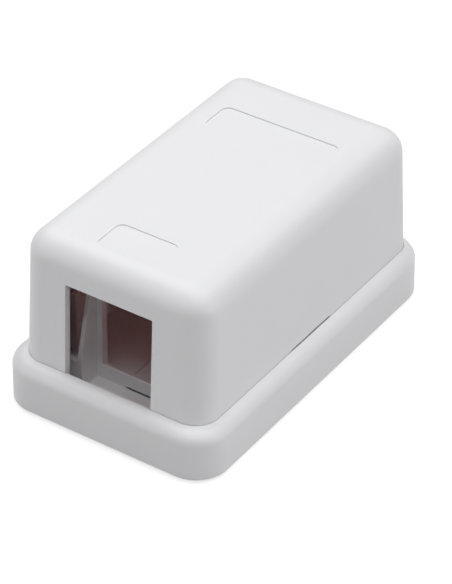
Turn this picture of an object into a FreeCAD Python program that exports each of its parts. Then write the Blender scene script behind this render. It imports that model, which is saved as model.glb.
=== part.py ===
import FreeCAD, Part
import math
import os

# Single-port surface mount jack box: a moulded base tray with a snap-in keystone
# cradle, a lift-off moulded hood, and two strips of foam tape with their liners.
# All lengths are in millimetres.  +X is the right side seen from the front, +Y is
# the rear, +Z is up.  The origin is on the mounting plane under the base's centre.

# ---- base tray ---------------------------------------------------------------
BASE_WIDTH = 36.7            # outside, at the underside
BASE_LENGTH = 60.1           # outside, at the underside
BASE_CORNER = 5.3            # vertical corner radius
RIM_HEIGHT = 7.88            # underside to the ledge around the hood
RIM_DRAFT = 0.015            # inward lean of the outer walls, mm per mm
RIM_ROUND = 2.03             # outer top edge
FLOOR = 2.35                 # floor plate
UNDERSIDE_BREAK = 0.3        # small round on the lower outer edge

# ---- hood --------------------------------------------------------------------
LEDGE_SIDE = 2.0             # base's top edge to the foot of the hood, each side
LEDGE_FRONT = 2.31           # the same in front
LEDGE_REAR = 1.19            # and at the rear
HOOD_RISE = 21.02            # ledge to the flat top
HOOD_WALL = 1.15             # walls and roof
SIDE_DRAFT = 0.022           # inward lean of each wall, mm per mm
FRONT_DRAFT = 0.058
REAR_DRAFT = 0.05
HOOD_ROUND = 3.87            # upright corners and the rounding around the flat top
LIP_STEP = 0.03              # the lip below the ledge is this much thinner, each face
LIP_CHAMFER = 0.35           # lead-in on the lip's outer lower edge
SEAT_GAP = 0.05              # clearance between the hood's foot and the base's rim

# ---- jack opening and cradle width ---------------------------------------------
MODULE_WIDTH = 14.5          # a standard keystone module
MODULE_PLAY = 0.3            # between the module and the cheeks, both sides together
PORT_MARGIN = 0.2            # the hood's opening is this much wider than the cradle
PORT_HEIGHT = 15.05          # ledge to the top of the opening
PORT_SHIFT = -0.27           # opening, cradle and screw holes, from the centre plane
SILL_GAP = 0.25              # rim sill to each side of the opening
SILL_DEPTH = 0.33            # how far the sill steps in behind the ledge

# ---- label recesses in the top -----------------------------------------------
LABEL_DEPTH = 0.2
LABEL_CORNER = 1.25
SMALL_LABEL_WIDTH = 10.45
SMALL_LABEL_LENGTH = 6.2
SMALL_LABEL_BACK = 7.7       # its centre, behind the foot of the hood's front wall
LARGE_LABEL_SIDE = 6.03      # each end, inside the foot of the hood's side wall
LARGE_LABEL_LENGTH = 6.25
LARGE_LABEL_AHEAD = 15.01    # its centre, ahead of the foot of the hood's rear wall

# ---- pry notches in the hood's lower edge --------------------------------------
PRY_LENGTH = 10.4
PRY_DEEP = 0.45              # how far the notch goes into the wall
PRY_ABOVE = 0.18             # height of the notch above the base's ledge
PRY_BELOW = 2.4              # and how far it runs down behind the rim

# ---- keystone cradle ---------------------------------------------------------
CHEEK_FOOT = 0.78            # cheek thickness at the floor
CHEEK_CREST = 0.58           # cheek thickness at the top
CHEEK_FRONT = 6.2            # front edge of the cheeks, behind the base's front
CHEEK_BELOW_RIM = 0.38       # the front edge is upright up to this far below the ledge
CHEEK_SLOPE = 0.247          # backward lean of the front edge above that
PAD_RISE = 0.3               # floor between the cheeks, above the floor plate
FRAME_FRONT = 9.93           # front of hook bar and stop flanges at the cradle floor
FRAME_BACK = 11.35           # back of the same frame at the cradle floor
FRAME_FRONT_LEAN = 0.03      # backward lean of the frame's front, mm per mm
FRAME_BACK_LEAN = 0.01
HOOK_BAR_HEIGHT = 2.4        # bar that a module's hook grips, above the cradle floor
HOOK_BAR_FALL = 0.62         # how far its top slopes down to the rear
FRAME_OPENING = 19.25        # hook bar to latch bar
LATCH_BAR_HEIGHT = 1.7       # upper bar that a module's spring latch grips
STOP_REACH = 0.87            # how far each flange stands in from its cheek
HOOK_SLOT_WIDTH = 4.5        # slot through the floor that frees the hook bar's underside
HOOK_SLOT_AHEAD = 0.08       # its front edge, ahead of the bar
HOOK_SLOT_HEIGHT = 0.2       # its top, above the cradle floor
HOOK_SLOT_WEB = 0.3          # bar left behind it
CROSS_RIB = 1.0              # low rib from each cheek towards the wall
CROSS_RIB_DROP = 0.4         # its top, below the upright part of the cheek's front
CROSS_RIB_GAP = 1.48         # its outer end to the hood's inner wall

# ---- screw holes and cable hole in the floor -----------------------------------
SCREW_RADIUS = 1.9
SCREW_WALL = 1.0             # straight part of the hole below its countersink
SINK_RADIUS = 2.85
SINK_TO_FRAME = 0.05         # front countersink to the back of the frame
REAR_SCREW_AHEAD = 11.85     # rear hole, ahead of the base's rear
RECESS_FLOOR = 1.9           # floor of the screw recesses
RECESS_WIDTH = 7.1
RECESS_LENGTH = 10.4
RECESS_BACK = 1.2            # recess centre behind the screw hole
ENTRY_LENGTH = 10.0          # hole for a cable out of the wall
ENTRY_CORNER = 2.0
ENTRY_WEB = 0.95             # floor between the cable hole and each tape recess
ENTRY_TO_TIE = 1.7           # cable hole to tie bridge

# ---- cable tie bridge ----------------------------------------------------------
TIE_WIDTH = 7.0
TIE_LENGTH = 3.0
TIE_RISE = 3.05              # above the floor plate
TIE_ROOF = 1.2               # thickness over the slot
TIE_HOLE_WIDTH = 4.4
TIE_TO_RECESS = 2.1          # bridge to the rear screw recess

# ---- snap latches ----------------------------------------------------------------
LATCH_INSET = 13.2           # tongue centre to each end of the hood
LATCH_LENGTH = 6.0
LATCH_THICK = 1.1
LATCH_STANDOFF = 0.62        # tongue face to the hood's inner wall
BARB = 0.45                  # how far barb and bead stand out
BARB_RISE = 2.72             # flat underside of the barb, above the ledge
BARB_TO_TIP = 2.6            # barb's underside to the tip of the tongue
SNAP_PLAY = 0.15             # barb to bead when the hood is down
BEAD_HEIGHT = 1.3
LATCH_RIB = 0.9              # rib behind each tongue
LATCH_RIB_DROP = 0.48        # top of that rib, below the ledge

# ---- hood details inside -----------------------------------------------------------
KNOCKOUT_WIDTH = 11.0        # thinned panel in the rear wall
KNOCKOUT_HEIGHT = 8.0
KNOCKOUT_ABOVE = 0.6         # its lower edge, above the ledge
KNOCKOUT_WEB = 0.5
GUIDE_RIB = 1.0              # upright ribs beside the opening
GUIDE_RIB_DEPTH = 1.5
GUIDE_RIB_GAP = 0.77         # rib to the outside of the cradle's cheek

# ---- foam tape strips ------------------------------------------------------------
TAPE_WIDTH = 7.6
TAPE_CORNER = 1.0
TAPE_SIDE = 6.95             # strip centre, in from the base's side
TAPE_END = 8.05              # end of the strip, in from the base's end
TAPE_THICK = 0.8
LINER_THICK = 0.12
LINER_OVERHANG = 0.4         # the liner is a little larger all round
RECESS_DEPTH = 0.55
RECESS_GAP = 0.65            # recess wall to the edge of the foam

# ---- sizes and places that follow from the ones above -------------------------------
RIM_LEAN = RIM_DRAFT * RIM_HEIGHT
HOOD_WIDTH = BASE_WIDTH - 2.0 * (RIM_LEAN + LEDGE_SIDE)
HOOD_LENGTH = BASE_LENGTH - 2.0 * RIM_LEAN - LEDGE_FRONT - LEDGE_REAR
HOOD_CENTRE = (LEDGE_FRONT - LEDGE_REAR) / 2.0
HOOD_TOP = RIM_HEIGHT + HOOD_RISE
BASE_FRONT = -BASE_LENGTH / 2.0
BASE_REAR = BASE_LENGTH / 2.0
CRADLE_WIDTH = MODULE_WIDTH + MODULE_PLAY
PORT_WIDTH = CRADLE_WIDTH + PORT_MARGIN
PORT_TOP = RIM_HEIGHT + PORT_HEIGHT
CRADLE_FLOOR = FLOOR + PAD_RISE
HOOK_BAR_TOP = CRADLE_FLOOR + HOOK_BAR_HEIGHT
LATCH_BAR_LOW = HOOK_BAR_TOP + FRAME_OPENING
CHEEK_TOP = LATCH_BAR_LOW + LATCH_BAR_HEIGHT
CHEEK_SQUARE_TO = RIM_HEIGHT - CHEEK_BELOW_RIM
CROSS_RIB_TOP = CHEEK_SQUARE_TO - CROSS_RIB_DROP
CROSS_RIB_OUT = HOOD_WIDTH / 2.0 - HOOD_WALL - CROSS_RIB_GAP
FRONT_SCREW = BASE_FRONT + FRAME_BACK + SINK_RADIUS + SINK_TO_FRAME
REAR_SCREW = BASE_REAR - REAR_SCREW_AHEAD
TAPE_AT = BASE_WIDTH / 2.0 - TAPE_SIDE
TAPE_LENGTH = BASE_LENGTH - 2.0 * TAPE_END
TIE_CENTRE = REAR_SCREW + RECESS_BACK - (RECESS_LENGTH + TIE_LENGTH) / 2.0 - TIE_TO_RECESS
ENTRY_CENTRE = TIE_CENTRE - (TIE_LENGTH + ENTRY_LENGTH) / 2.0 - ENTRY_TO_TIE
ENTRY_WIDTH = 2.0 * (TAPE_AT - TAPE_WIDTH / 2.0 - RECESS_GAP - ENTRY_WEB)
TIE_TOP = FLOOR + TIE_RISE
FRONT_LATCH = HOOD_CENTRE - HOOD_LENGTH / 2.0 + LATCH_INSET
REAR_LATCH = HOOD_CENTRE + HOOD_LENGTH / 2.0 - LATCH_INSET
BARB_LOW = RIM_HEIGHT + BARB_RISE
LATCH_TOP = BARB_LOW + BARB_TO_TIP
LATCH_RIB_TOP = RIM_HEIGHT - LATCH_RIB_DROP
BEAD_HIGH = BARB_LOW - SNAP_PLAY

# height of the base's underside above the surface that the liners lie on
STAND_OFF = TAPE_THICK + LINER_THICK - RECESS_DEPTH


def rounded_wire(width, length, radius, centre_x, centre_y, z):
    """A closed rounded rectangle in a level plane, centred on (centre_x, centre_y)."""
    x = width / 2.0
    y = length / 2.0
    r = radius
    k = r * (1.0 - math.sqrt(0.5))

    def at(px, py):
        return FreeCAD.Vector(centre_x + px, centre_y + py, z)

    edges = [
        Part.LineSegment(at(-x + r, -y), at(x - r, -y)).toShape(),
        Part.Arc(at(x - r, -y), at(x - k, -y + k), at(x, -y + r)).toShape(),
        Part.LineSegment(at(x, -y + r), at(x, y - r)).toShape(),
        Part.Arc(at(x, y - r), at(x - k, y - k), at(x - r, y)).toShape(),
        Part.LineSegment(at(x - r, y), at(-x + r, y)).toShape(),
        Part.Arc(at(-x + r, y), at(-x + k, y - k), at(-x, y - r)).toShape(),
        Part.LineSegment(at(-x, y - r), at(-x, -y + r)).toShape(),
        Part.Arc(at(-x, -y + r), at(-x + k, -y + k), at(-x + r, -y)).toShape(),
    ]
    return Part.Wire(edges)


def rounded_prism(width, length, radius, centre_x, centre_y, low, high):
    """An upright rounded block from height low to height high."""
    wire = rounded_wire(width, length, radius, centre_x, centre_y, low)
    return Part.Face(wire).extrude(FreeCAD.Vector(0, 0, high - low))


def box(x0, x1, y0, y1, z0, z1):
    """A block given by its low and high corners."""
    return Part.makeBox(x1 - x0, y1 - y0, z1 - z0, FreeCAD.Vector(x0, y0, z0))


def side_profile(points, x0, x1):
    """A solid from a closed outline in the YZ plane, from x0 to x1."""
    corners = [FreeCAD.Vector(x0, y, z) for y, z in points]
    corners.append(corners[0])
    face = Part.Face(Part.makePolygon(corners))
    return face.extrude(FreeCAD.Vector(x1 - x0, 0, 0))


def end_profile(points, y0, y1):
    """A solid from a closed outline in the XZ plane, from y0 to y1."""
    corners = [FreeCAD.Vector(x, y0, z) for x, z in points]
    corners.append(corners[0])
    face = Part.Face(Part.makePolygon(corners))
    return face.extrude(FreeCAD.Vector(0, y1 - y0, 0))


def mirrored(shape):
    """The same solid on the other side of the centre plane."""
    return shape.mirror(FreeCAD.Vector(0, 0, 0), FreeCAD.Vector(1, 0, 0))


def level_edges(shape, height):
    """The edges that lie in the level plane at this height."""
    found = []
    for edge in shape.Edges:
        span = edge.BoundBox
        if abs(span.ZMin - height) < 1e-4 and abs(span.ZMax - height) < 1e-4:
            found.append(edge)
    return found


def hood_wall_x(height, inset):
    """X of the hood's right wall at this height, less an inset."""
    return HOOD_WIDTH / 2.0 - SIDE_DRAFT * (height - RIM_HEIGHT) - inset


def hood_front_y(height, inset):
    """Y of the hood's front wall at this height, plus an inset."""
    foot = HOOD_CENTRE - HOOD_LENGTH / 2.0
    return foot + FRONT_DRAFT * (height - RIM_HEIGHT) + inset


def hood_rear_y(height, inset):
    """Y of the hood's rear wall at this height, less an inset."""
    foot = HOOD_CENTRE + HOOD_LENGTH / 2.0
    return foot - REAR_DRAFT * (height - RIM_HEIGHT) - inset


def hood_corners(height, inset):
    """The four corners of the hood's outline at one height, before any rounding."""
    x = hood_wall_x(height, inset)
    front = hood_front_y(height, inset)
    rear = hood_rear_y(height, inset)
    return [FreeCAD.Vector(-x, front, height), FreeCAD.Vector(x, front, height),
            FreeCAD.Vector(x, rear, height), FreeCAD.Vector(-x, rear, height)]


def flat_face(corners):
    """A flat face between its corners."""
    return Part.Face(Part.makePolygon(corners + [corners[0]]))


def hood_block(inset):
    """The hood above the ledge, or the space inside it, as one filled block."""
    low = hood_corners(RIM_HEIGHT, inset)
    high = hood_corners(HOOD_TOP - inset, inset)
    faces = [flat_face(low[::-1]), flat_face(high)]
    for side in range(4):
        after = (side + 1) % 4
        faces.append(flat_face([low[side], low[after], high[after], high[side]]))
    block = Part.makeSolid(Part.makeShell(faces))
    rounded = [edge for edge in block.Edges if edge.BoundBox.ZMax > RIM_HEIGHT + 1.0]
    return block.makeFillet(HOOD_ROUND - inset, rounded)


def foot_prism(inset, low):
    """An upright block from height low to the ledge, drawn in from the hood's foot."""
    return rounded_prism(HOOD_WIDTH - 2.0 * inset, HOOD_LENGTH - 2.0 * inset,
                         HOOD_ROUND - inset, 0.0, HOOD_CENTRE, low, RIM_HEIGHT)


# ---- base ------------------------------------------------------------------------
def rim_and_floor():
    """The tray: drafted outer walls, rounded ledge, floor plate and the hood's seat."""
    tray = Part.makeLoft([
        rounded_wire(BASE_WIDTH, BASE_LENGTH, BASE_CORNER, 0.0, 0.0, 0.0),
        rounded_wire(BASE_WIDTH - 2.0 * RIM_LEAN, BASE_LENGTH - 2.0 * RIM_LEAN,
                     BASE_CORNER - RIM_LEAN, 0.0, 0.0, RIM_HEIGHT)], True, True)
    tray = tray.makeFillet(RIM_ROUND, level_edges(tray, RIM_HEIGHT))
    tray = tray.makeFillet(UNDERSIDE_BREAK, level_edges(tray, 0.0))
    tray = tray.cut(foot_prism(-SEAT_GAP, FLOOR))
    sill_half = PORT_WIDTH / 2.0 - SILL_GAP
    front = hood_front_y(RIM_HEIGHT, -SEAT_GAP)
    inner = front + SILL_DEPTH
    sill = side_profile([(front - 0.3, FLOOR - 0.2), (inner, FLOOR - 0.2),
                         (inner, RIM_HEIGHT - 0.2), (inner - 0.2, RIM_HEIGHT),
                         (front - 0.3, RIM_HEIGHT)],
                        PORT_SHIFT - sill_half, PORT_SHIFT + sill_half)
    return tray.fuse(sill)


def frame_y(height, at_floor, lean):
    """Y of one face of the leaning keystone frame at this height."""
    return BASE_FRONT + at_floor + lean * (height - CRADLE_FLOOR)


def frame_slice(low, high, x0, x1):
    """A piece of the keystone frame between two heights and two sides."""
    return side_profile([(frame_y(low, FRAME_FRONT, FRAME_FRONT_LEAN), low),
                         (frame_y(low, FRAME_BACK, FRAME_BACK_LEAN), low),
                         (frame_y(high, FRAME_BACK, FRAME_BACK_LEAN), high),
                         (frame_y(high, FRAME_FRONT, FRAME_FRONT_LEAN), high)], x0, x1)


def cradle():
    """The keystone cradle: two cheeks, stop flanges, hook bar, latch bar and ribs."""
    inner = CRADLE_WIDTH / 2.0
    front = BASE_FRONT + CHEEK_FRONT
    back = frame_y(CHEEK_TOP, FRAME_BACK, FRAME_BACK_LEAN)
    root = FLOOR - 0.3
    crest = front + CHEEK_SLOPE * (CHEEK_TOP - CHEEK_SQUARE_TO)
    outline = side_profile([(front, root), (frame_y(root, FRAME_BACK, FRAME_BACK_LEAN), root),
                            (back, CHEEK_TOP), (crest, CHEEK_TOP),
                            (front, CHEEK_SQUARE_TO)], inner, inner + 2.0)
    taper = end_profile([(inner, root), (inner + CHEEK_FOOT, root),
                         (inner + CHEEK_CREST, CHEEK_TOP), (inner, CHEEK_TOP)],
                        front - 1.0, back + 1.0)
    cheek = outline.common(taper)
    flange = frame_slice(root, CHEEK_TOP, inner - STOP_REACH, inner + 0.2)
    rib = end_profile([(inner + 0.2, root), (CROSS_RIB_OUT, root),
                       (CROSS_RIB_OUT, CROSS_RIB_TOP - 1.2),
                       (CROSS_RIB_OUT - 1.2, CROSS_RIB_TOP),
                       (inner + 0.2, CROSS_RIB_TOP)], front, front + CROSS_RIB)
    side = cheek.fuse([flange, rib])
    pad = box(-inner - 0.2, inner + 0.2, front, BASE_FRONT + FRAME_BACK, root, CRADLE_FLOOR)
    hook_bar = side_profile([(frame_y(root, FRAME_FRONT, FRAME_FRONT_LEAN), root),
                             (frame_y(root, FRAME_BACK, FRAME_BACK_LEAN), root),
                             (frame_y(CRADLE_FLOOR, FRAME_BACK, FRAME_BACK_LEAN),
                              HOOK_BAR_TOP - HOOK_BAR_FALL),
                             (frame_y(HOOK_BAR_TOP, FRAME_FRONT, FRAME_FRONT_LEAN) + 0.15,
                              HOOK_BAR_TOP),
                             (frame_y(HOOK_BAR_TOP, FRAME_FRONT, FRAME_FRONT_LEAN),
                              HOOK_BAR_TOP - 0.12)], -inner - 0.2, inner + 0.2)
    latch_bar = frame_slice(LATCH_BAR_LOW, CHEEK_TOP, -inner - 0.2, inner + 0.2)
    frame = side.fuse([mirrored(side), pad, hook_bar, latch_bar])
    frame.translate(FreeCAD.Vector(PORT_SHIFT, 0, 0))
    return frame


def hook_slot():
    """The slot from the underside up to the lower face of the hook bar."""
    return box(PORT_SHIFT - HOOK_SLOT_WIDTH / 2.0, PORT_SHIFT + HOOK_SLOT_WIDTH / 2.0,
               BASE_FRONT + FRAME_FRONT - HOOK_SLOT_AHEAD,
               BASE_FRONT + FRAME_BACK - HOOK_SLOT_WEB,
               -1.0, CRADLE_FLOOR + HOOK_SLOT_HEIGHT)


def latch_tongue(centre):
    """One snap tongue with its barb and back rib, on the right side."""
    face = hood_wall_x(RIM_HEIGHT, HOOD_WALL) - LATCH_STANDOFF
    root = FLOOR - 0.3
    tongue = end_profile([(face - LATCH_THICK, root), (face, root),
                          (face, BARB_LOW), (face + BARB, BARB_LOW),
                          (face + BARB, BARB_LOW + 0.5), (face, LATCH_TOP - 0.3),
                          (face - 0.3, LATCH_TOP), (face - LATCH_THICK, LATCH_TOP)],
                         centre - LATCH_LENGTH / 2.0, centre + LATCH_LENGTH / 2.0)
    inner = face - LATCH_THICK
    rib = end_profile([(inner + 0.2, root), (inner - 2.2, root),
                       (inner + 0.2, LATCH_RIB_TOP)],
                      centre - LATCH_RIB / 2.0, centre + LATCH_RIB / 2.0)
    return tongue.fuse(rib)


def screw_hole(centre):
    """A countersunk screw hole and the shallow recess around it, as one cutter."""
    at = FreeCAD.Vector(PORT_SHIFT, centre, -1.0)
    up = FreeCAD.Vector(0, 0, 1)
    shank = Part.makeCylinder(SCREW_RADIUS, SCREW_WALL + 1.1, at, up)
    sink = Part.makeCone(SCREW_RADIUS, SINK_RADIUS, RECESS_FLOOR - SCREW_WALL,
                         FreeCAD.Vector(PORT_SHIFT, centre, SCREW_WALL), up)
    top = Part.makeCylinder(SINK_RADIUS, 0.2,
                            FreeCAD.Vector(PORT_SHIFT, centre, RECESS_FLOOR), up)
    recess = rounded_prism(RECESS_WIDTH, RECESS_LENGTH, 0.8, PORT_SHIFT,
                           centre + RECESS_BACK, RECESS_FLOOR, FLOOR + 1.0)
    return shank.fuse([sink, top, recess])


def floor_details(tray):
    """Countersunk screw holes, the cable hole and the cable tie bridge."""
    root = FLOOR - 0.3
    half = TIE_WIDTH / 2.0
    bridge = end_profile([(-half - 0.6, root), (half + 0.6, root), (half, TIE_TOP - 0.6),
                          (half - 0.6, TIE_TOP), (-half + 0.6, TIE_TOP),
                          (-half, TIE_TOP - 0.6)],
                         TIE_CENTRE - TIE_LENGTH / 2.0, TIE_CENTRE + TIE_LENGTH / 2.0)
    tray = tray.fuse(bridge)
    removed = [screw_hole(FRONT_SCREW),
               screw_hole(REAR_SCREW),
               rounded_prism(ENTRY_WIDTH, ENTRY_LENGTH, ENTRY_CORNER, 0.0,
                             ENTRY_CENTRE, -1.0, FLOOR + 1.0),
               box(-TIE_HOLE_WIDTH / 2.0, TIE_HOLE_WIDTH / 2.0,
                   TIE_CENTRE - TIE_LENGTH, TIE_CENTRE + TIE_LENGTH, FLOOR, TIE_TOP - TIE_ROOF)]
    return tray.cut(removed)


def tape_recesses():
    """The two shallow recesses in the underside that the foam strips lie in."""
    return [rounded_prism(TAPE_WIDTH + 2.0 * RECESS_GAP, TAPE_LENGTH + 2.0 * RECESS_GAP,
                          TAPE_CORNER + RECESS_GAP, sign * TAPE_AT, 0.0,
                          -1.0, RECESS_DEPTH) for sign in (-1.0, 1.0)]


def make_base():
    """The whole one-piece base moulding."""
    tray = rim_and_floor()
    parts = []
    for centre in (FRONT_LATCH, REAR_LATCH):
        tongue = latch_tongue(centre)
        parts.append(tongue)
        parts.append(mirrored(tongue))
    tray = floor_details(tray)
    tray = tray.fuse(parts + [cradle()])
    tray = tray.cut(tape_recesses() + [hook_slot()])
    return tray.removeSplitter()


# ---- hood ------------------------------------------------------------------------
def hood_shell():
    """The drafted hood with its lip, hollowed to an even wall."""
    lip = foot_prism(LIP_STEP, FLOOR)
    lip = lip.makeChamfer(LIP_CHAMFER, level_edges(lip, FLOOR))
    outside = hood_block(0.0).fuse(lip)
    return outside.cut([hood_block(HOOD_WALL), foot_prism(HOOD_WALL - LIP_STEP, FLOOR - 1.0)])


def label_recess(width, length, centre):
    """One shallow rounded recess in the flat top."""
    return rounded_prism(width, length, LABEL_CORNER, 0.0, centre,
                         HOOD_TOP - LABEL_DEPTH, HOOD_TOP + 1.0)


def snap_bead(centre):
    """The bead inside the right wall that clicks under a tongue's barb."""
    wall = hood_wall_x(RIM_HEIGHT, HOOD_WALL)
    low = BEAD_HIGH - BEAD_HEIGHT
    return end_profile([(wall + 0.3, low), (wall, low), (wall - BARB, BEAD_HIGH - 0.4),
                        (wall - BARB, BEAD_HIGH), (wall + 0.3, BEAD_HIGH)],
                       centre - LATCH_LENGTH / 2.0, centre + LATCH_LENGTH / 2.0)


def guide_rib():
    """The upright rib inside the front wall, to the right of the opening."""
    x = CRADLE_WIDTH / 2.0 + CHEEK_FOOT + GUIDE_RIB_GAP
    low = RIM_HEIGHT
    high = HOOD_TOP - HOOD_ROUND
    return side_profile([(hood_front_y(low, HOOD_WALL) - 0.3, low),
                         (hood_front_y(low, HOOD_WALL) + GUIDE_RIB_DEPTH, low),
                         (hood_front_y(high, HOOD_WALL) + GUIDE_RIB_DEPTH, high),
                         (hood_front_y(high, HOOD_WALL) - 0.3, high)],
                        x, x + GUIDE_RIB)


def make_hood():
    """The whole one-piece hood moulding."""
    hood = hood_shell()
    added = [guide_rib(), mirrored(guide_rib())]
    for centre in (FRONT_LATCH, REAR_LATCH):
        bead = snap_bead(centre)
        added.append(bead)
        added.append(mirrored(bead))
    hood = hood.fuse(added)
    front = hood_front_y(RIM_HEIGHT, 0.0)
    port = box(PORT_SHIFT - PORT_WIDTH / 2.0, PORT_SHIFT + PORT_WIDTH / 2.0,
               front - 3.0, front + 4.0, FLOOR - 1.0, PORT_TOP)
    low = RIM_HEIGHT + KNOCKOUT_ABOVE
    high = low + KNOCKOUT_HEIGHT
    rear = hood_rear_y(high, KNOCKOUT_WEB)
    knockout = side_profile([(rear - 3.0, low), (hood_rear_y(low, KNOCKOUT_WEB), low),
                             (rear, high), (rear - 3.0, high)],
                            -KNOCKOUT_WIDTH / 2.0, KNOCKOUT_WIDTH / 2.0)
    wall = hood_wall_x(RIM_HEIGHT, 0.0)
    notch = box(wall - PRY_DEEP, wall + 1.0, -PRY_LENGTH / 2.0, PRY_LENGTH / 2.0,
                RIM_HEIGHT - PRY_BELOW, RIM_HEIGHT + PRY_ABOVE)
    hood = hood.cut([port, knockout, notch, mirrored(notch)])
    small = label_recess(SMALL_LABEL_WIDTH, SMALL_LABEL_LENGTH,
                         hood_front_y(RIM_HEIGHT, SMALL_LABEL_BACK))
    large = label_recess(HOOD_WIDTH - 2.0 * LARGE_LABEL_SIDE, LARGE_LABEL_LENGTH,
                         hood_rear_y(RIM_HEIGHT, LARGE_LABEL_AHEAD))
    return hood.cut([small, large]).removeSplitter()


# ---- foam tape and liners ------------------------------------------------------------
def tape_strip(sign):
    """One foam tape strip, stuck to the floor of its recess."""
    return rounded_prism(TAPE_WIDTH, TAPE_LENGTH, TAPE_CORNER, sign * TAPE_AT, 0.0,
                         RECESS_DEPTH - TAPE_THICK, RECESS_DEPTH)


def liner_sheet(sign):
    """The release liner under one strip, a little larger than the foam all round."""
    top = RECESS_DEPTH - TAPE_THICK
    return rounded_prism(TAPE_WIDTH + 2.0 * LINER_OVERHANG,
                         TAPE_LENGTH + 2.0 * LINER_OVERHANG,
                         TAPE_CORNER + LINER_OVERHANG, sign * TAPE_AT, 0.0,
                         top - LINER_THICK, top)


os.makedirs("parts", exist_ok=True)
NODES = {
    "base": make_base(),
    "cover": make_hood(),
    "tape_left": tape_strip(-1.0),
    "tape_right": tape_strip(1.0),
    "liner_left": liner_sheet(-1.0),
    "liner_right": liner_sheet(1.0),
}
for name, shape in NODES.items():
    placed = shape.copy()
    placed.translate(FreeCAD.Vector(0, 0, STAND_OFF))
    if placed.ShapeType == "Compound" and len(placed.Solids) == 1:
        placed = placed.Solids[0]
    placed.exportStep("parts/" + name + ".step")
    span = placed.BoundBox
    print(name, placed.ShapeType, len(placed.Solids), placed.isValid(), round(placed.Volume, 2),
          [round(v, 3) for v in (span.XMin, span.XMax, span.YMin, span.YMax, span.ZMin, span.ZMax)])
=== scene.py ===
import math

import bpy
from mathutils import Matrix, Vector


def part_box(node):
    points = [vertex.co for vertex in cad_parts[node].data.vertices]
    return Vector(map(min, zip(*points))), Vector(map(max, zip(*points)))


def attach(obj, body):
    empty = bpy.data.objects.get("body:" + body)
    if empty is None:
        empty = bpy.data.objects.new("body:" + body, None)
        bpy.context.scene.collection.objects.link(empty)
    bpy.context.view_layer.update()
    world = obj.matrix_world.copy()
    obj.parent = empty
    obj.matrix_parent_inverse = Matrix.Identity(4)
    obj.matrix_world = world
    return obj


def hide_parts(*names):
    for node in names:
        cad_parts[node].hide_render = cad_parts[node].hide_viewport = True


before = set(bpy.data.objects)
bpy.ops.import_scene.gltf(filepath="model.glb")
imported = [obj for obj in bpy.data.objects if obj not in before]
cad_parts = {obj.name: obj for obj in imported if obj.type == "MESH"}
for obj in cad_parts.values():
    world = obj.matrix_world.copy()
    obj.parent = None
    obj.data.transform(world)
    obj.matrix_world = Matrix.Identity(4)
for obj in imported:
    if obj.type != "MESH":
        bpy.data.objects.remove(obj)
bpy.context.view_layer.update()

bl_info = {
    "name": "Surface mount jack box",
    "version": (1, 0, 0),
    "blender": (4, 5, 0),
    "location": "3D View > Sidebar > Jack box",
    "description": "Dresses a one-port surface mount jack box and sets up its studio",
    "category": "Object",
}

MM = 0.001
HOOD_LOW, HOOD_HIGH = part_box("cover")
_, TRAY_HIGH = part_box("base")


# ---- sizes and colours -------------------------------------------------------------
class PlasticSettings(bpy.types.PropertyGroup):
    """Colour and surface of the white moulded ABS."""
    white: bpy.props.FloatVectorProperty(
        name="White", description="Colour of the moulded plastic", subtype="COLOR",
        size=3, min=0.0, max=1.0, default=(0.80, 0.80, 0.815))
    roughness: bpy.props.FloatProperty(
        name="Roughness", description="How satin the outer faces are",
        subtype="FACTOR", min=0.0, max=1.0, default=0.46)
    grain: bpy.props.FloatProperty(
        name="Grain", description="Size of the fine spark-eroded grain",
        subtype="DISTANCE", unit="LENGTH", min=0.0, default=0.16 * MM)
    soft_edge: bpy.props.FloatProperty(
        name="Soft edge", description="Small round on every moulded edge",
        subtype="DISTANCE", unit="LENGTH", min=0.0, default=0.05 * MM)


class StripSettings(bpy.types.PropertyGroup):
    """Colours and sizes of the foam strips and their release liners."""
    foam: bpy.props.FloatVectorProperty(
        name="Foam", description="Colour of the foam tape",
        subtype="COLOR", size=3, min=0.0, max=1.0, default=(0.72, 0.72, 0.70))
    liner: bpy.props.FloatVectorProperty(
        name="Liner", description="Colour of the release paper",
        subtype="COLOR", size=3, min=0.0, max=1.0, default=(0.78, 0.70, 0.47))
    cell: bpy.props.FloatProperty(
        name="Foam cell", description="Size of one cell of the foam",
        subtype="DISTANCE", unit="LENGTH", min=0.0, default=0.22 * MM)
    cell_depth: bpy.props.FloatProperty(
        name="Cell depth",
        description="How deep the cut cells open in the foam's sides",
        subtype="DISTANCE", unit="LENGTH", min=0.0, default=0.07 * MM)
    draw_in: bpy.props.FloatProperty(
        name="Draw in",
        description="How far the foam's cut sides pull in at mid height",
        subtype="DISTANCE", unit="LENGTH", min=0.0, default=0.09 * MM)
    foam_corner: bpy.props.FloatProperty(
        name="Foam corner", description="Corner radius of the foam strips",
        subtype="DISTANCE", unit="LENGTH", min=0.0, default=1.0 * MM)
    liner_corner: bpy.props.FloatProperty(
        name="Liner corner", description="Corner radius of the release liners",
        subtype="DISTANCE", unit="LENGTH", min=0.0, default=1.4 * MM)


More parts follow.
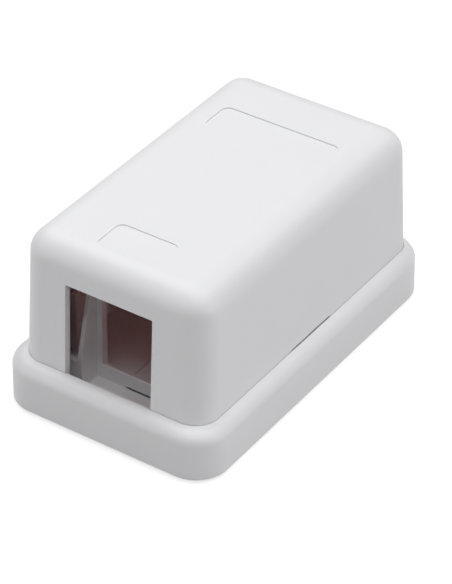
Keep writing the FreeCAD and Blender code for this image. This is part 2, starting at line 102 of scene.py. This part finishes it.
class StudioSettings(bpy.types.PropertyGroup):
    """Lights, floor and camera."""
    left: bpy.props.FloatProperty(
        name="Left lamp", description="Strength of the high lamp on the left",
        min=0.0, default=0.94)
    front: bpy.props.FloatProperty(
        name="Front lamp", description="Strength of the high lamp in front",
        min=0.0, default=0.29)
    front_right: bpy.props.FloatProperty(
        name="Front right lamp",
        description="Strength of the high lamp at the front right",
        min=0.0, default=0.61)
    rear_right: bpy.props.FloatProperty(
        name="Rear right lamp",
        description="Strength of the high lamp at the rear right",
        min=0.0, default=1.17)
    rear_left: bpy.props.FloatProperty(
        name="Rear left lamp", description="Strength of the lamp at the rear left",
        min=0.0, default=0.46)
    low_right: bpy.props.FloatProperty(
        name="Low right lamp", description="Strength of the low lamp on the right",
        min=0.0, default=0.74)
    low_left: bpy.props.FloatProperty(
        name="Low left lamp", description="Strength of the low lamp at the front left",
        min=0.0, default=0.72)
    inside: bpy.props.FloatProperty(
        name="Inside lamp",
        description="Watts of warm light that the thin walls let in",
        min=0.0, default=0.00025)
    inside_colour: bpy.props.FloatVectorProperty(
        name="Inside colour", description="Colour of the light that the walls let in",
        subtype="COLOR", size=3, min=0.0, max=1.0, default=(1.0, 0.2, 0.14))
    lamp_spread: bpy.props.FloatProperty(
        name="Lamp spread", description="How wide each lamp looks from the box",
        subtype="ANGLE", unit="ROTATION", min=0.0, default=math.radians(30.0))
    floor_tone: bpy.props.FloatProperty(
        name="Floor tone", description="How much light the floor throws back",
        subtype="FACTOR", min=0.0, max=1.0, default=0.45)
    floor_glow: bpy.props.FloatProperty(
        name="Floor glow", description="Glow that keeps the floor white on camera",
        min=0.0, default=0.68)
    lens: bpy.props.FloatProperty(
        name="Lens", description="Focal length of the camera",
        subtype="DISTANCE_CAMERA", min=1.0, default=169.75)


# ---- shader helpers ----------------------------------------------------------------
class Value:
    """A node socket that adds Math nodes when it is used in an expression."""

    def __init__(self, sheet, socket):
        self.sheet = sheet
        self.socket = socket

    def _with(self, operation, first, second):
        made = self.sheet.node("ShaderNodeMath", {"operation": operation},
                               {0: first, 1: second})
        return Value(self.sheet, made.outputs[0])

    def __add__(self, other):
        return self._with("ADD", self, other)

    __radd__ = __add__

    def __sub__(self, other):
        return self._with("SUBTRACT", self, other)

    def __rsub__(self, other):
        return self._with("SUBTRACT", other, self)

    def __mul__(self, other):
        return self._with("MULTIPLY", self, other)

    __rmul__ = __mul__

    def size(self):
        """The value without its sign."""
        return self._with("ABSOLUTE", self, 0.0)

    def above(self, limit):
        """1 where the value is over the limit, otherwise 0."""
        return self._with("GREATER_THAN", self, limit)


# the colour sockets of a Mix node, by their number
MIX_FIRST, MIX_SECOND, MIX_RESULT = 6, 7, 2


class ShaderSheet:
    """A new material with one Principled shader, and the nodes added to it."""

    def __init__(self, name):
        self.material = bpy.data.materials.new(name)
        self.material.use_nodes = True
        self.tree = self.material.node_tree
        self.tree.nodes.clear()
        self.output = self.tree.nodes.new("ShaderNodeOutputMaterial")
        self.shader = self.tree.nodes.new("ShaderNodeBsdfPrincipled")
        self.tree.links.new(self.shader.outputs[0], self.output.inputs["Surface"])

    def feed(self, socket, value):
        """Links or sets one socket."""
        if isinstance(value, Value):
            self.tree.links.new(value.socket, socket)
        elif isinstance(value, bpy.types.NodeSocket):
            self.tree.links.new(value, socket)
        else:
            socket.default_value = value

    def node(self, kind, settings=None, sockets=None):
        """One node: its settings are made first, then its sockets."""
        made = self.tree.nodes.new(kind)
        for key, value in (settings or {}).items():
            setattr(made, key, value)
        for key, value in (sockets or {}).items():
            self.feed(made.inputs[key], value)
        return made

    def value(self, kind, output, settings=None, sockets=None):
        """One output of a new node, ready for expressions."""
        return Value(self, self.node(kind, settings, sockets).outputs[output])

    def place(self):
        """The piece's own coordinates, in metres."""
        return self.value("ShaderNodeTexCoord", "Object")

    def axes(self):
        """The three coordinates, one by one."""
        apart = self.node("ShaderNodeSeparateXYZ", None, {0: self.place()})
        return [Value(self, socket) for socket in apart.outputs]

    def noise(self, size, detail, roughness=0.5):
        """Soft noise whose features are about this many metres across."""
        return self.value("ShaderNodeTexNoise", "Fac", None,
                          {"Vector": self.place(), "Scale": 1.0 / size,
                           "Detail": detail, "Roughness": roughness})

    def blend(self, mask, first, second):
        """A colour between two others: the first where the mask is 0."""
        made = self.node("ShaderNodeMix", {"data_type": "RGBA"}, {0: mask})
        self.feed(made.inputs[MIX_FIRST], first)
        self.feed(made.inputs[MIX_SECOND], second)
        return made.outputs[MIX_RESULT]

    def bump(self, height, depth):
        """A normal from a height, where a height of 1 stands for this many metres."""
        made = self.node("ShaderNodeBump", None, {"Height": height, "Distance": depth})
        return made.outputs["Normal"]

    def finish(self, **sockets):
        """Sets the Principled shader's sockets by their names."""
        for name, value in sockets.items():
            self.feed(self.shader.inputs[name.replace("_", " ")], value)
        return self.material


def rgba(colour, gain=1.0):
    """A colour with its alpha, brightened or darkened evenly."""
    return (colour[0] * gain, colour[1] * gain, colour[2] * gain, 1.0)


# moulded plastic: what its noises measure and how much each one does
CLOUD_SIZE, CLOUD_DETAIL = 9.0 * MM, 2.0
RIPPLE_SIZE, RIPPLE_DETAIL = 5.0 * MM, 1.0
GRAIN_DETAIL, GRAIN_ROUGHNESS = 3.0, 0.6
CLOUD_DARK, CLOUD_LIGHT = 0.985, 1.01
GRAIN_SATIN, CLOUD_SATIN = 0.10, 0.06     # how far each one moves the roughness
GRAIN_HEIGHT, RIPPLE_HEIGHT = 0.0022, 0.012     # in millimetres
NOISE_MIDDLE = 0.5
EDGE_SAMPLES = 4
ABS_IOR = 1.53


def abs_plastic(name, settings):
    """White moulded ABS: spark-eroded grain, faint flow clouds, slight sink ripple."""
    sheet = ShaderSheet(name)
    clouds = sheet.noise(CLOUD_SIZE, CLOUD_DETAIL)
    grain = sheet.noise(settings.grain, GRAIN_DETAIL, GRAIN_ROUGHNESS)
    ripple = sheet.noise(RIPPLE_SIZE, RIPPLE_DETAIL)
    tone = sheet.blend(clouds, rgba(settings.white, CLOUD_DARK),
                       rgba(settings.white, CLOUD_LIGHT))
    rough = (settings.roughness + (grain - NOISE_MIDDLE) * GRAIN_SATIN
             + (clouds - NOISE_MIDDLE) * CLOUD_SATIN)
    height = grain * GRAIN_HEIGHT + ripple * RIPPLE_HEIGHT
    edges = sheet.node("ShaderNodeBevel", {"samples": EDGE_SAMPLES},
                       {"Radius": settings.soft_edge})
    normal = sheet.bump(height, 1.0 * MM)
    sheet.feed(normal.node.inputs["Normal"], edges.outputs[0])
    return sheet.finish(Base_Color=tone, Roughness=rough, IOR=ABS_IOR, Normal=normal)


# foam tape
MOTTLE_SIZE, MOTTLE_DETAIL = 1.2 * MM, 3.0
# the cells' share of the colour is painted shade, darker in the low seams between
# cells; the mottle's share is the foam's own uneven tone
CELL_SHADE_SHARE, MOTTLE_SHARE = 0.7, 0.3
FOAM_LIGHT, FOAM_DARK = 1.08, 0.82
CELL_BUMP = 0.06 * MM
FOAM_ROUGHNESS = 0.88


def foam_tape(name, settings):
    """Closed-cell foam: rounded cells of uneven size with painted shade in the low
    seams between them, and a slightly mottled colour.
    """
    sheet = ShaderSheet(name)
    cells = sheet.value("ShaderNodeTexVoronoi", "Distance",
                        {"feature": "SMOOTH_F1"},
                        {"Vector": sheet.place(), "Scale": 1.0 / settings.cell})
    mottle = sheet.noise(MOTTLE_SIZE, MOTTLE_DETAIL)
    # painted shade: the colour darkens towards each cell's rim, where the bump is low
    tone = sheet.blend(cells * CELL_SHADE_SHARE + mottle * MOTTLE_SHARE,
                       rgba(settings.foam, FOAM_LIGHT), rgba(settings.foam, FOAM_DARK))
    normal = sheet.bump(1.0 - cells, CELL_BUMP)
    return sheet.finish(Base_Color=tone, Roughness=FOAM_ROUGHNESS, Normal=normal)


# release paper
FIBRE_SIZE, FIBRE_DETAIL = 0.35 * MM, 4.0
FIBRE_SQUEEZE = (1.0, 0.12, 1.0)     # draws the fibres out along the strip
HAZE_SIZE, HAZE_DETAIL = 4.0 * MM, 2.0
FIBRE_SHARE, HAZE_SHARE = 0.6, 0.4
PAPER_DARK, PAPER_LIGHT = 0.93, 1.06
PAPER_SMOOTH, FIBRE_SATIN = 0.34, 0.16
FIBRE_BUMP = 0.01 * MM


def release_paper(name, settings):
    """Glazed release paper: long fibres, faint haze and a soft gloss."""
    sheet = ShaderSheet(name)
    along = sheet.node("ShaderNodeMapping", {"vector_type": "POINT"},
                       {"Vector": sheet.place(), "Scale": FIBRE_SQUEEZE})
    fibres = sheet.value("ShaderNodeTexNoise", "Fac", None,
                         {"Vector": along.outputs[0], "Scale": 1.0 / FIBRE_SIZE,
                          "Detail": FIBRE_DETAIL})
    haze = sheet.noise(HAZE_SIZE, HAZE_DETAIL)
    tone = sheet.blend(fibres * FIBRE_SHARE + haze * HAZE_SHARE,
                       rgba(settings.liner, PAPER_DARK),
                       rgba(settings.liner, PAPER_LIGHT))
    rough = PAPER_SMOOTH + fibres * FIBRE_SATIN
    normal = sheet.bump(fibres, FIBRE_BUMP)
    return sheet.finish(Base_Color=tone, Roughness=rough, Normal=normal)


# ---- mesh helpers ------------------------------------------------------------------
def finish_node(node, material):
    """Puts one material into every slot of a CAD node."""
    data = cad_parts[node].data
    data.materials.clear()
    data.materials.append(material)


QUARTER = math.pi / 2.0
FEWEST_TURNS = 4     # points on the tightest corner


def rounded_outline(low, high, corner, step):
    """Points round a level rounded rectangle, anticlockwise, about one step apart."""
    centres = ((high.x - corner, high.y - corner), (low.x + corner, high.y - corner),
               (low.x + corner, low.y + corner), (high.x - corner, low.y + corner))
    turns = max(FEWEST_TURNS, round(corner * QUARTER / step))
    points = []
    for quarter, (x, y) in enumerate(centres):
        for turn in range(turns + 1):
            angle = (quarter + turn / turns) * QUARTER
            points.append(Vector((x + corner * math.cos(angle),
                                  y + corner * math.sin(angle), 0.0)))
        last, after = points[-1], centres[(quarter + 1) % len(centres)]
        angle = (quarter + 1) * QUARTER
        start = Vector((after[0] + corner * math.cos(angle),
                        after[1] + corner * math.sin(angle), 0.0))
        parts = max(1, round((start - last).length / step))
        points += [last.lerp(start, part / parts) for part in range(1, parts)]
    return points


def stacked_mesh(name, rings):
    """A closed mesh through level rings with the same number of points, low to high."""
    mesh = bpy.data.meshes.new(name)
    count = len(rings[0])
    corners = [point for ring in rings for point in ring]
    faces = [tuple(range(count))[::-1]]
    for level in range(len(rings) - 1):
        for index in range(count):
            after = (index + 1) % count
            faces.append((level * count + index, level * count + after,
                          (level + 1) * count + after, (level + 1) * count + index))
    faces.append(tuple(range((len(rings) - 1) * count, len(rings) * count)))
    mesh.from_pydata(corners, [], faces)
    return mesh


def inward(outline, index, distance):
    """One point of an outline, moved in square to it."""
    before, after = outline[index - 1], outline[(index + 1) % len(outline)]
    along = (after - before).normalized()
    return outline[index] + Vector((-along.y, along.x, 0.0)) * distance


class ShapeTree:
    """A new geometry-node tree with named inputs, and the nodes added to it."""

    def __init__(self, name, inputs):
        self.tree = bpy.data.node_groups.new(name, "GeometryNodeTree")
        ports = self.tree.interface
        ports.new_socket("Geometry", in_out="INPUT", socket_type="NodeSocketGeometry")
        for label, kind in inputs.items():
            ports.new_socket(label, in_out="INPUT", socket_type=kind)
        ports.new_socket("Geometry", in_out="OUTPUT", socket_type="NodeSocketGeometry")
        self.start = self.tree.nodes.new("NodeGroupInput")
        self.end = self.tree.nodes.new("NodeGroupOutput")

    def node(self, kind, settings=None, sockets=None):
        """One node: its settings are made first, then its sockets."""
        made = self.tree.nodes.new(kind)
        for key, value in (settings or {}).items():
            setattr(made, key, value)
        for key, value in (sockets or {}).items():
            if isinstance(value, bpy.types.NodeSocket):
                self.tree.links.new(value, made.inputs[key])
            else:
                made.inputs[key].default_value = value
        return made

    def maths(self, operation, first, second):
        """The output of one Math node."""
        return self.node("ShaderNodeMath", {"operation": operation},
                         {0: first, 1: second}).outputs[0]

    def close(self, geometry):
        """Ends the tree: plain geometry with the material given as an input."""
        real = self.node("GeometryNodeRealizeInstances", None, {"Geometry": geometry})
        dressed = self.node("GeometryNodeSetMaterial", None,
                            {"Geometry": real.outputs[0],
                             "Material": self.start.outputs["Material"]})
        self.tree.links.new(dressed.outputs[0], self.end.inputs[0])
        return self.tree


def grow(piece, tree, values):
    """Runs a geometry-node tree on a piece and keeps the result as its plain mesh."""
    modifier = piece.modifiers.new(tree.name, "NODES")
    modifier.node_group = tree
    for item in tree.interface.items_tree:
        if item.in_out == "INPUT" and item.name in values:
            modifier[item.identifier] = values[item.name]
    graph = bpy.context.evaluated_depsgraph_get()
    mesh = bpy.data.meshes.new_from_object(piece.evaluated_get(graph))
    piece.modifiers.remove(modifier)
    piece.data = mesh


CELL_SMOOTHNESS = 0.35
CELL_WALL = 0.75     # the cell distance at which the cut face stays in place


def cut_cells_tree():
    """Opens the cells that the die cut through, in the faces marked as cut."""
    shape = ShapeTree("cut_cells", {"Cell size": "NodeSocketFloat",
                                    "Cell depth": "NodeSocketFloat",
                                    "Seed": "NodeSocketFloat",
                                    "Material": "NodeSocketMaterial"})
    place = shape.node("GeometryNodeInputPosition").outputs[0]
    facing = shape.node("GeometryNodeInputNormal").outputs[0]
    marked = shape.node("GeometryNodeInputNamedAttribute", {"data_type": "FLOAT"},
                        {"Name": "cut"}).outputs[0]
    scale = shape.maths("DIVIDE", 1.0, shape.start.outputs["Cell size"])
    cells = shape.node("ShaderNodeTexVoronoi",
                       {"voronoi_dimensions": "4D", "feature": "SMOOTH_F1"},
                       {"Vector": place, "W": shape.start.outputs["Seed"],
                        "Scale": scale,
                        "Smoothness": CELL_SMOOTHNESS}).outputs["Distance"]
    open_share = shape.maths("SUBTRACT", CELL_WALL, cells)
    depth = shape.maths("MULTIPLY", open_share, shape.start.outputs["Cell depth"])
    masked = shape.maths("MULTIPLY", depth, marked)
    inwards = shape.maths("MULTIPLY", masked, -1.0)
    offset = shape.node("ShaderNodeVectorMath", {"operation": "SCALE"},
                        {0: facing, "Scale": inwards}).outputs[0]
    moved = shape.node("GeometryNodeSetPosition", None,
                       {"Geometry": shape.start.outputs["Geometry"], "Offset": offset})
    return shape.close(moved.outputs[0])


def settle(piece, node):
    """Lets a finished piece ride on the tray's body in a CAD node's place."""
    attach(piece, "base")
    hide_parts(node)


# ---- operators ---------------------------------------------------------------------
class JACKBOX_OT_hood(bpy.types.Operator):
    """Finish the lift-off hood"""
    bl_idname = "jackbox.hood"
    bl_label = "Hood"

    def execute(self, context):
        finish_node("cover", abs_plastic("hood_plastic", context.scene.jackbox_plastic))
        return {"FINISHED"}


class JACKBOX_OT_tray(bpy.types.Operator):
    """Finish the base tray with its cradle, latches and screw holes"""
    bl_idname = "jackbox.tray"
    bl_label = "Base tray"

    def execute(self, context):
        finish_node("base", abs_plastic("tray_plastic", context.scene.jackbox_plastic))
        return {"FINISHED"}


FOAM_STEP = 0.11 * MM     # between the points of the foam's outline
FOAM_RINGS = 9
FULL_CUT = 2.0     # the cells open fully a sixth of the way in from each flat face


def foam_strip(name, node, settings, tree, material, seed):
    """One strip of foam tape: die-cut sides that draw in, with their cells cut open."""
    low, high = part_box(node)
    outline = rounded_outline(low, high, settings.foam_corner, FOAM_STEP)
    rings = []
    marks = []
    for level in range(FOAM_RINGS):
        share = level / (FOAM_RINGS - 1)
        belly = math.sin(share * math.pi)
        height = low.z + (high.z - low.z) * share
        ring = [inward(outline, index, settings.draw_in * belly)
                for index in range(len(outline))]
        rings.append([Vector((point.x, point.y, height)) for point in ring])
        marks += [min(1.0, FULL_CUT * belly)] * len(outline)
    mesh = stacked_mesh(name, rings)
    mesh.attributes.new("cut", "FLOAT", "POINT").data.foreach_set("value", marks)
    piece = bpy.data.objects.new(name, mesh)
    bpy.context.scene.collection.objects.link(piece)
    grow(piece, tree, {"Cell size": settings.cell, "Cell depth": settings.cell_depth,
                       "Seed": seed, "Material": material})
    settle(piece, node)


LINER_STEP = 0.4 * MM     # between the points of a liner's outline
# a sheared edge from its lower face up: height and draw-in, as shares of the thickness
SHEARED_EDGE = ((0.0, 0.3), (0.15, 0.0), (0.8, 0.0), (1.0, 0.35))


def liner_sheet(name, node, settings, material):
    """One release liner: a flat sheet with a sheared edge."""
    low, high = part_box(node)
    thick = high.z - low.z
    outline = rounded_outline(low, high, settings.liner_corner, LINER_STEP)
    rings = []
    for share, draw_in in SHEARED_EDGE:
        ring = [inward(outline, index, draw_in * thick)
                for index in range(len(outline))]
        rings.append([Vector((point.x, point.y, low.z + thick * share))
                      for point in ring])
    mesh = stacked_mesh(name, rings)
    mesh.materials.append(material)
    piece = bpy.data.objects.new(name, mesh)
    bpy.context.scene.collection.objects.link(piece)
    settle(piece, node)


class JACKBOX_OT_strips(bpy.types.Operator):
    """Make the foam tape strips and their release liners"""
    bl_idname = "jackbox.strips"
    bl_label = "Tape strips"

    def execute(self, context):
        settings = context.scene.jackbox_strips
        foam = foam_tape("foam", settings)
        paper = release_paper("release_paper", settings)
        tree = cut_cells_tree()
        for seed, side in enumerate(("left", "right")):
            foam_strip("foam_strip_" + side, "tape_" + side, settings, tree, foam,
                       1.0 + seed)
            liner_sheet("release_liner_" + side, "liner_" + side, settings, paper)
        return {"FINISHED"}


# each lamp's direction round the box, from +X towards +Y, and its lean from straight
# above, both in degrees
LAMPS = {"left": (180.0, 28.0), "front": (270.0, 28.0), "front_right": (315.0, 28.0),
         "rear_right": (45.0, 28.0), "rear_left": (135.0, 52.0),
         "low_right": (0.0, 77.0), "low_left": (225.0, 77.0)}
INSIDE_FROM_FRONT = 15.6 * MM     # the inside lamp, from the hood's front edge
INSIDE_BELOW_TOP = 11.3 * MM
INSIDE_RADIUS = 4.0 * MM
FLOOR_HALF = 4.0     # metres from the middle of the floor to its sides
FLOOR_GAP = 0.05 * MM     # keeps the floor off the liners
UNDER_BOX = 6.0 * MM     # the floor has no glow from this far inside the tray's sides
CAMERA_PLACE = (0.186451, -0.271652, 0.250334)
CAMERA_TURN, CAMERA_TILT = math.radians(34.281), math.radians(36.211)
SENSOR_WIDTH = 36.0
CLIP_NEAR, CLIP_FAR = 0.01, 20.0


def floor_material(settings):
    """Matt pale floor that reads white on camera, except under the box."""
    sheet = ShaderSheet("studio_floor")
    matt = sheet.node("ShaderNodeBsdfDiffuse", None,
                      {"Color": rgba((settings.floor_tone,) * 3)})
    rays = sheet.node("ShaderNodeLightPath")
    seen = sheet.value("ShaderNodeMath", 0, {"operation": "MAXIMUM"},
                       {0: rays.outputs["Is Camera Ray"],
                        1: rays.outputs["Is Glossy Ray"]})
    across, along, _ = sheet.axes()
    outside = sheet.value("ShaderNodeMath", 0, {"operation": "MAXIMUM"},
                          {0: across.size().above(TRAY_HIGH.x - UNDER_BOX),
                           1: along.size().above(TRAY_HIGH.y - UNDER_BOX)})
    glow = sheet.node("ShaderNodeEmission", None,
                      {"Strength": seen * outside * settings.floor_glow})
    both = sheet.node("ShaderNodeAddShader", None,
                      {0: matt.outputs[0], 1: glow.outputs[0]})
    sheet.tree.nodes.remove(sheet.shader)
    sheet.tree.links.new(both.outputs[0], sheet.output.inputs["Surface"])
    return sheet.material


def lay_floor(scene, settings):
    """A wide level floor just under the box."""
    mesh = bpy.data.meshes.new("studio_floor")
    mesh.from_pydata([(-FLOOR_HALF, -FLOOR_HALF, -FLOOR_GAP),
                      (FLOOR_HALF, -FLOOR_HALF, -FLOOR_GAP),
                      (FLOOR_HALF, FLOOR_HALF, -FLOOR_GAP),
                      (-FLOOR_HALF, FLOOR_HALF, -FLOOR_GAP)], [], [(0, 1, 2, 3)])
    floor = bpy.data.objects.new("studio_floor", mesh)
    mesh.materials.append(floor_material(settings))
    scene.collection.objects.link(floor)


def hang_sky(scene):
    """A world that is white on camera and gives no light of its own."""
    world = bpy.data.worlds.new("studio_sky")
    world.use_nodes = True
    scene.world = world
    tree = world.node_tree
    tree.nodes.clear()
    output = tree.nodes.new("ShaderNodeOutputWorld")
    white = tree.nodes.new("ShaderNodeBackground")
    rays = tree.nodes.new("ShaderNodeLightPath")
    white.inputs["Color"].default_value = (1.0, 1.0, 1.0, 1.0)
    tree.links.new(rays.outputs["Is Camera Ray"], white.inputs["Strength"])
    tree.links.new(white.outputs[0], output.inputs["Surface"])


def hang_lamps(scene, settings):
    """Wide lamps all round the box, from high above it to just over the floor."""
    for name, (turn, lean) in LAMPS.items():
        lamp = bpy.data.lights.new(name, "SUN")
        lamp.energy = getattr(settings, name)
        lamp.angle = settings.lamp_spread
        holder = bpy.data.objects.new(name, lamp)
        holder.rotation_euler = (0.0, math.radians(lean), math.radians(turn))
        scene.collection.objects.link(holder)


def hang_inside_lamp(scene, settings):
    """A faint warm lamp in the box, for the light that its thin walls let in."""
    lamp = bpy.data.lights.new("inside", "POINT")
    lamp.energy = settings.inside
    lamp.color = settings.inside_colour
    lamp.shadow_soft_size = INSIDE_RADIUS
    holder = bpy.data.objects.new("inside", lamp)
    holder.location = (0.0, HOOD_LOW.y + INSIDE_FROM_FRONT,
                       HOOD_HIGH.z - INSIDE_BELOW_TOP)
    holder.visible_camera = False
    holder.visible_glossy = False
    scene.collection.objects.link(holder)


def place_camera(scene, settings):
    """A long lens that looks down on the box from its front right."""
    camera = bpy.data.cameras.new("camera")
    camera.lens = settings.lens
    camera.sensor_width = SENSOR_WIDTH
    camera.clip_start = CLIP_NEAR
    camera.clip_end = CLIP_FAR
    eye = bpy.data.objects.new("camera", camera)
    eye.location = CAMERA_PLACE
    back = Vector((math.sin(CAMERA_TURN) * math.cos(CAMERA_TILT),
                   -math.cos(CAMERA_TURN) * math.cos(CAMERA_TILT),
                   math.sin(CAMERA_TILT)))
    eye.rotation_euler = (-back).to_track_quat("-Z", "Y").to_euler()
    scene.collection.objects.link(eye)
    scene.camera = eye


class JACKBOX_OT_studio(bpy.types.Operator):
    """Set up floor, world, lamps and camera"""
    bl_idname = "jackbox.studio"
    bl_label = "Studio"

    def execute(self, context):
        scene = context.scene
        settings = scene.jackbox_studio
        scene.view_settings.view_transform = "Standard"
        lay_floor(scene, settings)
        hang_sky(scene)
        hang_lamps(scene, settings)
        hang_inside_lamp(scene, settings)
        place_camera(scene, settings)
        return {"FINISHED"}


# ---- panel and registration --------------------------------------------------------
STEPS = (JACKBOX_OT_tray, JACKBOX_OT_hood, JACKBOX_OT_strips, JACKBOX_OT_studio)
GROUPS = (("jackbox_plastic", PlasticSettings), ("jackbox_strips", StripSettings),
          ("jackbox_studio", StudioSettings))


class JACKBOX_PT_panel(bpy.types.Panel):
    """Lists the settings and the steps of the jack box"""
    bl_idname = "JACKBOX_PT_panel"
    bl_label = "Jack box"
    bl_space_type = "VIEW_3D"
    bl_region_type = "UI"
    bl_category = "Jack box"

    def draw(self, context):
        for attribute, group in GROUPS:
            settings = getattr(context.scene, attribute)
            column = self.layout.column(align=True)
            for name in group.__annotations__:
                column.prop(settings, name)
        for step in STEPS:
            self.layout.operator(step.bl_idname)


CLASSES = (PlasticSettings, StripSettings, StudioSettings) + STEPS + (JACKBOX_PT_panel,)


def register():
    for cls in CLASSES:
        bpy.utils.register_class(cls)
    for attribute, group in GROUPS:
        setattr(bpy.types.Scene, attribute, bpy.props.PointerProperty(type=group))


def unregister():
    for attribute, group in reversed(GROUPS):
        delattr(bpy.types.Scene, attribute)
    for cls in reversed(CLASSES):
        bpy.utils.unregister_class(cls)


def main():
    register()
    bpy.ops.jackbox.tray()
    bpy.ops.jackbox.hood()
    bpy.ops.jackbox.strips()
    bpy.ops.jackbox.studio()


if __name__ == "__main__":
    main()
